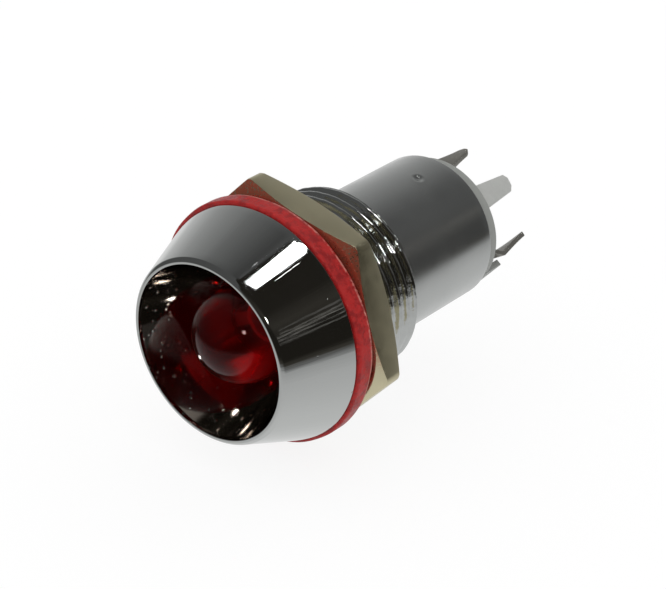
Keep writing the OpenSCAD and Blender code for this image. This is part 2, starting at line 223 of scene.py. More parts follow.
def bar_section(half_u: Array, half_v: Array, edge: float = 0.06) -> Array:
    """Rounded oblong for each pair of half sizes: four corners, each a quarter of a circle of radius edge.

    Args:
        half_u: Half sizes across the first direction.
        half_v: Half sizes across the second direction.
        edge: Radius of the corners.

    Returns:
        (sections, 16, 2) array, with a section of no size where a half size is zero.
    """
    a = np.radians(np.arange(4)[:, None] * 90.0 + np.linspace(0.0, 90.0, 4)[None]).ravel()
    corner = np.repeat(np.arange(4), 4)
    sign_u = np.where((corner == 0) | (corner == 3), 1.0, -1.0)
    sign_v = np.where(corner < 2, 1.0, -1.0)
    held = np.minimum(np.minimum(half_u, half_v), edge)[:, None]
    u = sign_u * (half_u[:, None] - held) + held * np.cos(a)
    v = sign_v * (half_v[:, None] - held) + held * np.sin(a)
    return np.stack([u, v], -1)


def make_piece(name: str, patches: list[Patch], sharp_degrees: float = 30.0) -> bpy.types.Object:
    """Mesh object from patches, with doubled points merged and its place in its mesh.

    Args:
        name: Name of the object.
        patches: Surfaces that make it up.
        sharp_degrees: Edges that turn by more than this stay sharp.

    Returns:
        The new object, linked to the scene.
    """
    start, vertices, faces = 0, [], []
    for patch in patches:
        vertices.append(patch.vertices())
        faces.append(patch.faces() + start)
        start += len(vertices[-1])
    mesh = bpy.data.meshes.new(name)
    mesh.from_pydata((np.vstack(vertices) * MM).tolist(), [], np.vstack(faces).tolist())
    work = bmesh.new()
    work.from_mesh(mesh)
    bmesh.ops.remove_doubles(work, verts=work.verts, dist=1e-7)
    bmesh.ops.dissolve_degenerate(work, edges=work.edges, dist=1e-8)
    work.to_mesh(mesh)
    work.free()
    mesh.shade_smooth()
    mesh.set_sharp_from_angle(angle=math.radians(sharp_degrees))
    piece = bpy.data.objects.new(name, mesh)
    bpy.context.scene.collection.objects.link(piece)
    return piece


def fit_piece(piece: bpy.types.Object, body: Body, nodes: list[str], finish: "Finish") -> None:
    """Gives a piece its finish, sets it on its body and lets it stand for its solids.

    Args:
        piece: The new piece.
        body: Body that it rides on.
        nodes: Nodes that it replaces.
        finish: Finish to put on it.
    """
    piece.data.materials.clear()
    piece.data.materials.append(finish.material())
    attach(piece, body.value)
    if nodes:
        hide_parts(*nodes)
    LOG.info("%s: %d faces on %s, for %s", piece.name, len(piece.data.polygons), body.value, nodes)


# ---------------------------------------------------------------- node helpers


def rgba(colour: Colour) -> tuple[float, float, float, float]:
    """Colour with full alpha."""
    return (*colour, 1.0)


class Wiring:
    """Short way to add and join the nodes of a tree."""

    def __init__(self, tree: bpy.types.NodeTree) -> None:
        """Keeps the tree that nodes are added to."""
        self.tree = tree

    def add(self, kind: str, inputs: dict | None = None, **settings: object) -> bpy.types.Node:
        """Adds a node.

        Args:
            kind: Blender's type name of the node, without the ShaderNode in front.
            inputs: Values or output sockets by input name or number.
            settings: Properties of the node.

        Returns:
            The node.
        """
        node = self.tree.nodes.new("ShaderNode" + kind)
        for key, value in settings.items():
            setattr(node, key, value)
        self.fill(node, inputs or {})
        return node

    def fill(self, node: bpy.types.Node, inputs: dict) -> None:
        """Fills a node's inputs.

        Args:
            node: The node.
            inputs: Values to set or output sockets to join, by input name or number.
        """
        for key, value in inputs.items():
            if isinstance(value, bpy.types.NodeSocket):
                self.tree.links.new(value, node.inputs[key])
            else:
                node.inputs[key].default_value = value

    def maths(self, operation: str, *values: object) -> bpy.types.NodeSocket:
        """Output of a Math node with the given operation and inputs."""
        return self.add("Math", dict(enumerate(values)), operation=operation).outputs[0]

    def times(self, value: object, *factors: object) -> bpy.types.NodeSocket:
        """Product of a value and its factors."""
        for factor in factors:
            value = self.maths("MULTIPLY", value, factor)
        return value

    def plus(self, base: object, value: object, share: object) -> bpy.types.NodeSocket:
        """Base with a share of the value added."""
        return self.maths("MULTIPLY_ADD", value, share, base)

    def vector(self, operation: str, *values: object) -> bpy.types.bpy_prop_collection:
        """Outputs of a Vector Math node with the given operation and inputs."""
        return self.add("VectorMath", dict(enumerate(values)), operation=operation).outputs

    def parts(self, vector: object) -> tuple:
        """X, Y and Z of a vector."""
        return tuple(self.add("SeparateXYZ", {0: vector}).outputs)

    def across(self, place: object) -> bpy.types.NodeSocket:
        """Place with nothing left of its way along the lamp's axis."""
        x, _, z = self.parts(place)
        return self.add("CombineXYZ", {"X": x, "Z": z}).outputs[0]

    def radius(self, place: object) -> bpy.types.NodeSocket:
        """Distance of a place from the lamp's axis."""
        return self.vector("LENGTH", self.across(place))["Value"]

    def mix(self, factor: object, low: object, high: object) -> bpy.types.NodeSocket:
        """Colour that goes from low to high with factor."""
        return self.add("Mix", {0: factor, 6: low, 7: high}, data_type="RGBA").outputs[2]

    def mottled(self, cloud: object, tint: Colour, mottle: float) -> bpy.types.NodeSocket:
        """Tint that is darker by the mottle's share where the cloud is low."""
        return self.mix(cloud, rgba(tuple(c * (1.0 - mottle) for c in tint)), rgba(tint))

    def ramp(
        self, value: object, low: float, high: float, to_low: float = 0.0, to_high: float = 1.0
    ) -> bpy.types.NodeSocket:
        """Value mapped smoothly from low..high to to_low..to_high."""
        inputs = {"Value": value, "From Min": low, "From Max": high, "To Min": to_low, "To Max": to_high}
        return self.add("MapRange", inputs, interpolation_type="SMOOTHSTEP").outputs["Result"]

    def noise(self, vector: object, scale: object, detail: float = 3.0, rough: float = 0.5) -> object:
        """Value of a noise texture."""
        inputs = {"Vector": vector, "Scale": scale, "Detail": detail, "Roughness": rough}
        return self.add("TexNoise", inputs).outputs["Fac"]

    def bump(self, height: object, distance: float, strength: float = 1.0) -> bpy.types.NodeSocket:
        """Normal bent by a height, where a height of one is the distance, in millimetres."""
        inputs = {"Height": height, "Strength": strength, "Distance": distance * MM}
        return self.add("Bump", inputs).outputs[0]

    def levels(self, elevation: object, stops: Stops, dark: Colour = WHITE, pale: float = 0.2) -> object:
        """Brightness that follows straight lines between stops.

        Args:
            elevation: Height of a direction in degrees.
            stops: Pairs of elevation and level.
            dark: Tint that the levels below pale take on.
            pale: Level from which there is no tint.

        Returns:
            The output with the colour.
        """
        share = self.maths("DIVIDE", self.maths("ADD", elevation, 90.0), 180.0)
        node = self.add("ValToRGB", {"Fac": share})
        bar = node.color_ramp.elements
        for number, (at, level) in enumerate(stops):
            position = (at + 90.0) / 180.0
            stop = bar[number] if number < 2 else bar.new(position)
            stop.position = position
            clear = min(level / pale, 1.0)
            stop.color = rgba(tuple(level * (clear + (1.0 - clear) * c) for c in dark))
        return node.outputs["Color"]

    def by_ray(self, camera: bpy.types.Node, mirror: bpy.types.Node, others: bpy.types.Node) -> object:
        """Shader as three kinds of ray see it.

        Args:
            camera: Shader for the camera's rays.
            mirror: Shader for rays off and through polished surfaces.
            others: Shader for all the others.

        Returns:
            The output with the shader.
        """
        rays = self.add("LightPath").outputs
        sent_on = self.maths("MAXIMUM", rays["Is Glossy Ray"], rays["Is Transmission Ray"])
        lit = self.add("MixShader", {0: sent_on, 1: others.outputs[0], 2: mirror.outputs[0]})
        seen = {0: rays["Is Camera Ray"], 1: lit.outputs[0], 2: camera.outputs[0]}
        return self.add("MixShader", seen).outputs[0]


def new_material(name: str) -> tuple[bpy.types.Material, Wiring]:
    """Starts a material.

    Args:
        name: Its name.

    Returns:
        The material, without nodes, and the wiring of its tree.
    """
    made = bpy.data.materials.new(name)
    made.use_nodes = True
    made.node_tree.nodes.clear()
    return made, Wiring(made.node_tree)


def new_group(name: str, inputs: dict[str, object], outputs: list[str]) -> tuple:
    """Starts a shader node group with named sockets.

    Args:
        name: Name of the group.
        inputs: Default value of each input, which is a vector where it has three numbers.
        outputs: Names of the outputs, each a single number.

    Returns:
        The group, its wiring, the sockets that its inputs come out of and the node that takes its outputs.
    """
    group = bpy.data.node_groups.new(name, "ShaderNodeTree")
    for label, default in inputs.items():
        kind = "NodeSocketVector" if isinstance(default, tuple) else "NodeSocketFloat"
        group.interface.new_socket(label, in_out="INPUT", socket_type=kind).default_value = default
    for label in outputs:
        group.interface.new_socket(label, in_out="OUTPUT", socket_type="NodeSocketFloat")
    source, sink = group.nodes.new("NodeGroupInput"), group.nodes.new("NodeGroupOutput")
    return group, Wiring(group), source.outputs, sink


class Effects:
    """Node groups that several finishes share, each built once."""

    _made: dict[str, bpy.types.NodeTree] = {}

    @classmethod
    def place(cls, w: Wiring, name: str, **inputs: object) -> bpy.types.bpy_prop_collection:
        """Puts a shared group in a tree.

        Args:
            w: Wiring of the tree.
            name: Name of the method below that builds the group.
            inputs: Values for the group's inputs.

        Returns:
            The outputs of the group's node.
        """
        if name not in cls._made:
            cls._made[name] = getattr(cls, name)()
        return w.add("Group", inputs, node_tree=cls._made[name]).outputs

    @staticmethod
    def specks() -> bpy.types.NodeTree:
        """Mask of small scattered domes: near the centres of cells whose own number is low."""
        group, w, source, sink = new_group(
            "specks", {"Vector": (0, 0, 0), "Scale": 900.0, "Share": 0.2, "Size": 0.25}, ["Mask"]
        )
        cells = w.add("TexVoronoi", {"Vector": source["Vector"], "Scale": source["Scale"]}).outputs
        number = w.add("SeparateColor", {0: cells["Color"]}).outputs[0]
        chosen = w.maths("LESS_THAN", number, source["Share"])
        share = w.maths("DIVIDE", cells["Distance"], source["Size"])
        near = w.maths("SUBTRACT", 1.0, w.times(share, share))
        w.fill(sink, {"Mask": w.times(chosen, w.maths("MAXIMUM", near, 0.0))})
        return group

    @staticmethod
    def drawing() -> bpy.types.NodeTree:
        """Height of fine lines that run along the axis: noise over the turn round it, stretched along it."""
        group, w, source, sink = new_group(
            "drawing", {"Vector": (0, 0, 0), "Scale": 4000.0, "Stretch": 0.06}, ["Height", "Hairs"]
        )
        circle_r = 0.01
        unit = w.vector("NORMALIZE", w.across(source["Vector"]))[0]
        circle = w.vector("MULTIPLY", unit, (circle_r,) * 3)[0]
        along = w.times(w.parts(source["Vector"])[1], source["Stretch"])
        place = w.vector("ADD", circle, w.add("CombineXYZ", {"Y": along}).outputs[0])[0]
        fine = w.noise(place, source["Scale"])
        w.fill(sink, {"Height": fine, "Hairs": w.ramp(fine, 0.68, 0.72)})
        return group

    @staticmethod
    def turning() -> bpy.types.NodeTree:
        """Height of fine lathe rings: noise that changes along the axis and with radius alone."""
        group, w, source, sink = new_group("turning", {"Vector": (0, 0, 0), "Scale": 9000.0}, ["Height"])
        ring = {"X": w.radius(source["Vector"]), "Y": w.parts(source["Vector"])[1]}
        place = w.add("CombineXYZ", ring).outputs[0]
        w.fill(sink, {"Height": w.noise(place, source["Scale"], 4.0, 0.6)})
        return group


# ---------------------------------------------------------------- finishes


@dataclass(frozen=True)
class Finish:
    """Base of every finish: a material made once from the fields of its class."""

    name: str

    def material(self) -> bpy.types.Material:
        """The finish's material, built at its first use."""
        made = bpy.data.materials.get(self.name)
        if made is None:
            made, w = new_material(self.name)
            shader = w.add("BsdfPrincipled")
            w.fill(shader, self.sockets(w, w.add("TexCoord").outputs["Object"]))
            w.add("OutputMaterial", {"Surface": shader.outputs[0]})
        return made

    def sockets(self, w: Wiring, place: object) -> dict[str, object]:
        """Values and outputs for the shader's inputs. Each finish has its own.

        Args:
            w: Wiring of the material's tree.
            place: Output with the place on the piece, in metres.

        Returns:
            Value or output by the input's name.
        """
        raise NotImplementedError


@dataclass(frozen=True)
class ChromeFinish(Finish):
    """Bright chromium plate: polished on the head, with beads in the bowl, and satin on the barrel.

    Lengths are millimetres. Those that may need a word:
        bowl_shade_tint: Darker, warmer colour inside the bowl: painted shade of the hollow.
        polished, satin: Roughness of the head and of the barrel.
        thread_rough, bowl_rough: Roughness that the thread and the bowl have besides.
        satin_from: Station where the satin part starts.
        cone_r, cone_slope: Radius that tells the cone from the bowl at the head's rear face, and how fast
            it grows along the axis.
        lip_at: Station of the mouth.
        bowl_r: Radius inside which the bowl lies at the mouth.
        hair_share: How much a hair scratch adds to the drawn lines.
        *_h: Heights of the drawn lines, the pits, the bowl's beads and ripple, the tool marks on the thread
            and the lathe rings on the barrel.
    """

    tint: Colour = (0.55, 0.565, 0.555)
    bowl_shade_tint: Colour = (0.42, 0.39, 0.36)
    polished: float = 0.045
    satin: float = 0.205
    thread_rough: float = 0.03
    bowl_rough: float = 0.015
    bead_rough: float = 0.2
    satin_from: float = 10.2
    cone_r: float = 9.4
    cone_slope: float = 0.35
    lip_at: float = -6.0
    bowl_r: float = 7.32
    line_h: float = 0.0035
    hair_share: float = 0.25
    pit_h: float = 0.02
    bead_h: float = 0.07
    ripple_h: float = 0.003
    chatter_h: float = 0.022
    ring_h: float = 0.005

    def sockets(self, w: Wiring, place: object) -> dict[str, object]:
        """Roughness steps up at the barrel; drawn lines, pits, beads and lathe rings give the bump."""
        station, radius = w.parts(place)[1], w.radius(place)
        on_barrel = w.ramp(station, self.satin_from * MM, (self.satin_from + 0.2) * MM)
        off_barrel = w.maths("SUBTRACT", 1.0, on_barrel)
        on_head = w.ramp(station, 0.0, 0.1 * MM, 1.0, 0.0)
        cone_r = w.plus(self.cone_r * MM, station, self.cone_slope)
        on_cone = w.times(w.maths("GREATER_THAN", radius, cone_r), on_head)
        in_bowl = w.times(w.maths("LESS_THAN", radius, self.bowl_r * MM), on_head)
        on_thread = w.maths("SUBTRACT", off_barrel, on_head)

        rough = w.plus(self.polished, on_barrel, self.satin - self.polished)
        rough = w.plus(w.plus(rough, on_thread, self.thread_rough), in_bowl, self.bowl_rough)
        rough = w.times(rough, w.ramp(w.noise(place, 260.0), 0.3, 0.7, 0.75, 1.3))

        drawn = Effects.place(w, "drawing", Vector=place, Scale=3600.0, Stretch=0.05)
        lines = w.plus(drawn["Height"], drawn["Hairs"], self.hair_share)
        pits = Effects.place(w, "specks", Vector=place, Scale=1150.0, Share=0.10, Size=0.11)[0]
        beads = Effects.place(w, "specks", Vector=place, Scale=1700.0, Share=0.5, Size=0.24)[0]
        near_lip = w.ramp(station, (self.lip_at + 0.9) * MM, (self.lip_at + 2.2) * MM, 1.0, 0.15)
        beaded = w.times(beads, near_lip, in_bowl)
        rings = Effects.place(w, "turning", Vector=place, Scale=14000.0)[0]
        height = w.times(lines, self.line_h, on_cone)
        for effect, size in (
            (w.times(pits, off_barrel), -self.pit_h),
            (beaded, self.bead_h),
            (w.times(w.noise(place, 700.0), in_bowl), self.ripple_h),
            (w.times(w.noise(place, 3000.0, 3.0, 0.6), on_thread), self.chatter_h),
            (w.times(rings, on_barrel), self.ring_h),
        ):
            height = w.plus(height, effect, size)
        on_bead = w.maths("GREATER_THAN", beaded, 0.02)
        return {
            # Painted shade: the inside of the bowl takes a darker, warmer colour than the head.
            "Base Color": w.mix(in_bowl, rgba(self.tint), rgba(self.bowl_shade_tint)),
            "Metallic": 1.0,
            "Roughness": w.maths("MAXIMUM", rough, w.times(on_bead, self.bead_rough)),
            "Normal": w.bump(height, 1.0),
        }


@dataclass(frozen=True)
class MetalFinish(Finish):
    """Plain plated or tinned metal with a soft mottle.

    Attributes:
        tint: Colour of the metal.
        rough: Mean roughness.
        mottle: How far the colour varies.
        grain: Scale of the mottle.
        metal: Share of clean metal, where the rest is dull tarnish.
        face_rough: Roughness of the faces across the axis, where they are smoother.
        painted_reflection: Colour of a painted reflection of the red washer, in flecks on the upper half of
            the face that looks forward.
        reflection_dull: Share of metal that the painted reflection takes away, so that it shows as matt
            colour.
    """

    tint: Colour = (0.6, 0.6, 0.6)
    rough: float = 0.3
    mottle: float = 0.15
    grain: float = 900.0
    metal: float = 1.0
    face_rough: float = 0.0
    painted_reflection: Colour | None = None
    reflection_dull: float = 0.38

    def sockets(self, w: Wiring, place: object) -> dict[str, object]:
        """Noise varies the colour and the roughness, and gives a slight bump."""
        cloud = w.noise(place, self.grain, 4.0, 0.6)
        colour = w.mottled(cloud, self.tint, self.mottle)
        rough = w.ramp(cloud, 0.3, 0.7, self.rough * 0.85, self.rough * 1.15)
        metal, facing = self.metal, w.parts(w.add("NewGeometry").outputs["Normal"])[1]
        if self.face_rough > 0.0:
            on_face = w.ramp(w.maths("ABSOLUTE", facing), 0.6, 0.8)
            smooth = w.ramp(cloud, 0.3, 0.7, self.face_rough * 0.6, self.face_rough * 1.4)
            rough = w.plus(rough, on_face, w.maths("SUBTRACT", smooth, rough))
        # Painted reflection of the red washer: red-brown flecks on the upper half of the forward face, less
        # metallic there.
        if self.painted_reflection is not None:
            forward = w.ramp(facing, -0.8, -0.6, 1.0, 0.0)
            upper = w.ramp(w.parts(place)[2], -2.0 * MM, 1.5 * MM)
            flecks = w.ramp(w.noise(place, 5200.0, 4.0, 0.7), 0.54, 0.64, 1.0, 0.0)
            share = w.times(forward, upper, flecks)
            colour = w.mix(share, colour, rgba(self.painted_reflection))
            metal = w.plus(self.metal, share, -self.reflection_dull)
        normal = w.bump(cloud, 0.02, 0.15)
        return {"Base Color": colour, "Metallic": metal, "Roughness": rough, "Normal": normal}


@dataclass(frozen=True)
class PlasticFinish(Finish):
    """Moulded plastic, rubber, film or lacquer.

    Attributes:
        tint: Colour of the material.
        rough: Mean roughness.
        mottle: How far the colour varies.
        grain: Scale of the mottle.
        depth: Height of the bump, in millimetres.
    """

    tint: Colour = (0.5, 0.5, 0.5)
    rough: float = 0.45
    mottle: float = 0.12
    grain: float = 1200.0
    depth: float = 0.02

    def sockets(self, w: Wiring, place: object) -> dict[str, object]:
        """Noise varies the colour and the roughness, and gives the bump."""
        cloud = w.noise(place, self.grain, 5.0, 0.65)
        return {
            "Base Color": w.mottled(cloud, self.tint, self.mottle),
            "Roughness": w.ramp(cloud, 0.3, 0.7, self.rough * 0.8, self.rough * 1.2),
            "Normal": w.bump(cloud, self.depth, 0.4),
        }


@dataclass(frozen=True)
class WasherFinish(Finish):
    """Red washer with dark patches, paler along its rear rim, partly from wear and partly as a painted
    highlight of the edge.

    Attributes:
        tint: Colour of the clean edge.
        deep: Colour of the dark patches.
        worn: Colour of the pale rim: wear, and a painted highlight along the rear edge.
        rim_at: Station of the scuffed rim, in millimetres.
        rim_r: Radius of the scuffed rim, in millimetres.
        wear_and_highlight_share: How far the pale rim hides the red.
    """

    tint: Colour = (0.48, 0.012, 0.011)
    deep: Colour = (0.3, 0.007, 0.008)
    worn: Colour = (0.62, 0.27, 0.22)
    rim_at: float = 1.38
    rim_r: float = 10.15
    wear_and_highlight_share: float = 0.8

    def sockets(self, w: Wiring, place: object) -> dict[str, object]:
        """Noise mixes clean and dark red; the rear rim turns pale, wear with a painted highlight, where the
        fine noise is high.
        """
        fine, broad = w.noise(place, 2600.0, 5.0, 0.7), w.noise(place, 1100.0)
        dark = w.ramp(w.maths("ADD", fine, broad), 0.82, 1.1, 1.0, 0.0)
        red = w.mix(dark, rgba(self.tint), rgba(self.deep))
        # Painted highlight with wear: pale flecks along the rear outer rim.
        off_rim = w.maths("ABSOLUTE", w.maths("SUBTRACT", w.parts(place)[1], self.rim_at * MM))
        at_rim = w.ramp(off_rim, 0.02 * MM, 0.16 * MM, 1.0, 0.0)
        outside = w.ramp(w.radius(place), (self.rim_r - 0.25) * MM, self.rim_r * MM)
        rim_wear_and_highlight = w.times(at_rim, outside, w.ramp(fine, 0.38, 0.58), self.wear_and_highlight_share)
        return {
            "Base Color": w.mix(rim_wear_and_highlight, red, rgba(self.worn)),
            "Roughness": w.ramp(fine, 0.3, 0.7, 0.28, 0.55),
            "Normal": w.bump(fine, 0.07),
            "Specular IOR Level": 0.4,
        }


@dataclass(frozen=True)
class EpoxyFinish(Finish):
    """Clear coloured epoxy of the lamp's case.

    Attributes:
        tint: Colour that light takes at each face.
        rough: Roughness of the moulded face.
        index: Refractive index.
        clear: Share of light that passes, where the rest scatters.
        gloss: Strength of the outer reflection, where 0.5 is plain glass.
        sheen: Colour of the outer reflection.
        glow_scatter: Share of light that scatters besides on one side, which paints a paler red glow there.
        glow_side: Direction of the side that takes the painted glow: towards +X, the rear and down.
    """

    tint: Colour = (0.55, 0.003, 0.004)
    rough: float = 0.06
    index: float = 1.49
    clear: float = 0.96
    gloss: float = 0.18
    sheen: Colour = (0.5, 0.3, 0.3)
    glow_scatter: float = 0.5
    glow_side: tuple[float, float, float] = (0.72, 0.4, -0.57)

    def sockets(self, w: Wiring, place: object) -> dict[str, object]:
        """Clear tinted glass that turns slightly milky towards one side, a painted glow of paler red there.
        """
        # Painted light: less light passes on one side, so that side shows as a paler, brighter red.
        toward_glow = w.vector("DOT_PRODUCT", w.add("NewGeometry").outputs["Normal"], self.glow_side)["Value"]
        return {
            "Base Color": rgba(self.tint),
            "Roughness": w.ramp(w.noise(place, 300.0), 0.4, 0.7, self.rough, self.rough * 2.0),
            "IOR": self.index,
            "Transmission Weight": w.ramp(toward_glow, 0.05, 0.8, self.clear, self.clear - self.glow_scatter),
            "Specular IOR Level": self.gloss,
            "Specular Tint": rgba(self.sheen),
        }


CHROME = ChromeFinish("chrome_plate")
NICKEL = MetalFinish("satin_nickel", tint=(0.70, 0.645, 0.44), rough=0.36, mottle=0.1, grain=700.0,
                     face_rough=0.13, painted_reflection=(0.5, 0.13, 0.075))
TINNED_SHEET = MetalFinish("tinned_sheet", tint=(0.76, 0.77, 0.74), rough=0.4, mottle=0.2,
                           grain=1500.0, metal=0.3)
# Painted shade: the tinned sheet again, darker and less metallic, for the upper and lower tags.
SHADED_SHEET = MetalFinish("shaded_sheet", tint=(0.3, 0.29, 0.26), rough=0.42, mottle=0.3,
                         grain=1500.0, metal=0.6)
TINNED_WIRE = MetalFinish("tinned_wire", tint=(0.66, 0.66, 0.64), rough=0.25, mottle=0.2)
SOLDER = MetalFinish("bright_solder", tint=(0.72, 0.72, 0.7), rough=0.2)
RED_WASHER = WasherFinish("red_washer")
INSULATOR = PlasticFinish("pale_insulator", tint=(0.34, 0.35, 0.33), rough=0.4, mottle=0.1)
RUBBER = PlasticFinish("black_rubber", tint=(0.02, 0.02, 0.02), rough=0.6)
NYLON = PlasticFinish("natural_nylon", tint=(0.75, 0.75, 0.7))
LAMINATE = PlasticFinish("green_laminate", tint=(0.03, 0.13, 0.05), rough=0.35)
LACQUER = PlasticFinish("resistor_lacquer", tint=(0.55, 0.42, 0.24), rough=0.3)
FILM = PlasticFinish("sleeve_film", tint=(0.62, 0.56, 0.34), rough=0.3)
BAND = PlasticFinish("band_paint", tint=(0.03, 0.03, 0.03), rough=0.3)
AMBER = EpoxyFinish("amber_glass", tint=(0.8, 0.3, 0.08))
RED_EPOXY = EpoxyFinish("red_epoxy")


# ---------------------------------------------------------------- the lamp's sub-assemblies


@dataclass
class BezelBody:
    """Turned and chromed body: lip, cone, relief, thread, barrel, bores and bowl in one surface.

    Attributes are millimetres and degrees, with stations counted from the head's rear face. Those that may
    need a word:
        stake_*: The punch mark on the barrel.
        stake_rim: Height, radius and width of the rim that the punch threw up.
        crest_cut: How far the crests stay below the full shank.
        root_ease: How much sooner the flanks round off into the root.
        worn_waves: Height, waves in a turn and phase for each millimetre of the crests' unevenness.
        *_step: Longest sides along the half section.
    """

    mouth: float
    rear: float
    head_r: float
    mouth_r: float = 7.8
    lip_width: float = 0.5
    shank_r: float = 8.0
    shank_end: float = 10.3
    shank_chamfer: float = 0.3
    barrel_r: float = 6.425
    barrel_short: float = 0.2
    bore_r: float = BARREL_BORE_R
    bore_floor: float = 3.1
    lamp_hole_r: float = 4.0
    bowl_foot: float = 0.8
    bowl_curve_r: float = 25.0
    pitch: float = 1.0
    crest_round: float = 0.2
    crest_cut: float = 0.04
    root_ease: float = 1.15
    worn_waves: Waves = ((0.008, 53, 3.0), (0.012, 23, -7.0))
    relief_end: float = 0.9
    relief_ramp: float = 0.5
    stake_station: float = 18.5
    stake_angle: float = 78.0
    stake_r: float = 0.36
    stake_depth: float = 0.16
    stake_rim: tuple[float, float, float] = (0.015, 0.55, 0.13)
    plain_step: float = 0.6
    stake_step: float = 0.14
    thread_step: float = 0.06
    rings: int = 264

    @property
    def thread_depth(self) -> float:
        """Depth of the thread, as the standard profile has it."""
        return 0.6134 * self.pitch

    def bowl_arc(self) -> Array:
        """Concave wall from the bowl's foot to the lip, on a circle that bulges away from the axis."""
        foot = np.array([self.lamp_hole_r, self.bowl_foot])
        rim = np.array([self.mouth_r - self.lip_width, self.mouth + self.lip_width / 2])
        chord = foot - rim
        across = np.array([-chord[1], chord[0]]) / np.linalg.norm(chord)
        height = math.sqrt(self.bowl_curve_r**2 - float(chord @ chord) / 4)
        centre = (rim + foot) / 2 + across * height
        first, last = (math.degrees(math.atan2(*(p - centre)[::-1])) for p in (foot, rim))
        return arc(tuple(centre), self.bowl_curve_r, first, last, 48)

    def profile(self) -> Array:
        """Closed half section: out over the cone and the shank to the rear, and back through the bores."""
        lip = self.lip_width / 2
        inner = self.mouth_r - self.lip_width
        root = self.shank_r - 0.65 * self.pitch
        rear = self.rear - self.barrel_short
        outside = rounded_path(
            [
                (inner, self.mouth + lip, 0.0), (inner, self.mouth, 0.06),
                (self.mouth_r - lip, self.mouth, 0.09), (self.mouth_r, self.mouth + lip, 0.08),
                (self.head_r, 0.0, 0.18), (root, 0.0, 0.1),
                (root, self.relief_end, 0.1), (self.shank_r, self.relief_end + self.relief_ramp, 0.08),
                (self.shank_r, self.shank_end - self.shank_chamfer, 0.1),
                (self.shank_r - self.shank_chamfer, self.shank_end, 0.08),
                (self.barrel_r, self.shank_end, 0.12), (self.barrel_r, rear, 0.16),
                (self.bore_r, rear, 0.1), (self.bore_r, self.bore_floor, 0.1),
                (self.lamp_hole_r, self.bore_floor, 0.1), (self.lamp_hole_r, self.bowl_foot + 0.02, 0.0),
            ],
            closed=False,
        )
        dense = resampled(np.vstack([outside, self.bowl_arc()[:-1]]), self.plain_step, closed=True)
        fine = []
        for a, b in zip(dense, np.roll(dense, -1, axis=0)):
            middle = (a[1] + b[1]) / 2
            outward = a[0] > self.shank_r - 0.7 and b[1] > a[1]
            if outward and self.relief_end - 0.1 < a[1] < self.shank_end:
                fine.append(resampled(np.array([a, b]), self.thread_step, closed=False)[:-1])
            elif abs(a[0] - self.barrel_r) < 0.02 and abs(middle - self.stake_station) < 1.1:
                fine.append(resampled(np.array([a, b]), self.stake_step, closed=False)[:-1])
            else:
                fine.append(a[None])
        return np.vstack(fine)

    def thread(self, radius: Array, station: Array, angle: Array) -> Array:
        """Cuts the helical thread: the crest climbs one pitch a turn, right-handed.

        With t the distance from the crest, the surface falls on a circle of radius crest_round until it has
        turned to the flank's 60 degrees, then straight, and it is rounded off again into the root. Waves
        round the turn make the crest uneven.

        Args:
            radius: Radii of the plain shank.
            station: Stations.
            angle: Angles in turns.

        Returns:
            The new radii.
        """
        flank = math.radians(60.0)
        phase = np.mod(station / self.pitch + angle, 1.0)
        from_crest = np.minimum(phase, 1.0 - phase) * self.pitch
        turned = np.clip(from_crest / self.crest_round, 0.0, math.sin(flank))
        fall = self.crest_round * (1.0 - np.sqrt(1.0 - turned**2))
        fall = fall + math.tan(flank) * np.maximum(from_crest - self.crest_round * math.sin(flank), 0.0)
        fall = self.thread_depth * np.tanh(fall / self.thread_depth * self.root_ease)
        on_thread = smoothstep(station, self.relief_end, self.relief_end + self.relief_ramp)
        on_thread *= 1.0 - smoothstep(station, self.shank_end - 0.25, self.shank_end - 0.02)
        outside = (radius > self.shank_r - self.thread_depth - 0.05) & (radius < self.shank_r + 0.01)
        worn = wavy(2 * np.pi * angle, self.worn_waves, station)
        wanted = self.shank_r - (fall + worn + self.crest_cut) * on_thread
        return np.where(outside, np.minimum(radius, wanted), radius)

    def stake(self, radius: Array, station: Array, angle: Array) -> Array:
        """Presses the punch mark into the barrel: a bell curve of depth over the distance from its middle.

        Args:
            radius: Radii of the plain barrel.
            station: Stations.
            angle: Angles in turns.

        Returns:
            The new radii.
        """
        turn = (angle - self.stake_angle / 360.0 + 0.5) % 1.0 - 0.5
        distance = np.hypot(turn * 2 * np.pi * self.barrel_r, station - self.stake_station)
        dent = self.stake_depth * np.exp(-((distance / self.stake_r) ** 3))
        rim_h, rim_r, rim_w = self.stake_rim
        rim = rim_h * np.exp(-(((distance - rim_r) / rim_w) ** 2))
        outside = np.abs(radius - self.barrel_r) < 0.01
        return np.where(outside, radius - dent + rim, radius)

    def build(self) -> None:
        """Makes the body's surface and dresses it."""
        radius, station = self.profile().T
        angle = (np.arange(self.rings) / self.rings)[:, None]
        radius = self.stake(self.thread(radius, station, angle), station, angle)
        grid = turned_grid(radius, station, self.rings)
        piece = make_piece("chromed_body", [Patch(grid, wrap_steps=True)], 40.0)
        fit_piece(piece, Body.LAMP, ["bezel_body"], CHROME)


@dataclass
class RedLamp:
    """Clear red case of the lamp: a round nose, a straight side, a flange and a flat base, in millimetres."""

    tip: float
    base: float
    case_r: float = 3.95
    flange_r: float = 4.6
    flange_t: float = 1.5
    rings: int = 160

    def build(self) -> None:
        """Makes the case and dresses it."""
        nose = arc((0.0, self.tip + self.case_r), self.case_r, -90.0, 0.0, 40)
        nose[0, 0] = 0.0
        step = self.base - self.flange_t
        side = rounded_path(
            [
                (self.case_r, self.tip + self.case_r, 0.0), (self.case_r, step, 0.1),
                (self.flange_r, step, 0.12), (self.flange_r, self.base, 0.12), (0.0, self.base, 0.0),
            ],
            closed=False,
        )
        radius, station = resampled(np.vstack([nose, side[1:]]), 0.5, closed=False).T
        piece = make_piece("red_lamp_case", [Patch(turned_grid(radius, station, self.rings))])
        fit_piece(piece, Body.LAMP, ["led_lens"], RED_EPOXY)


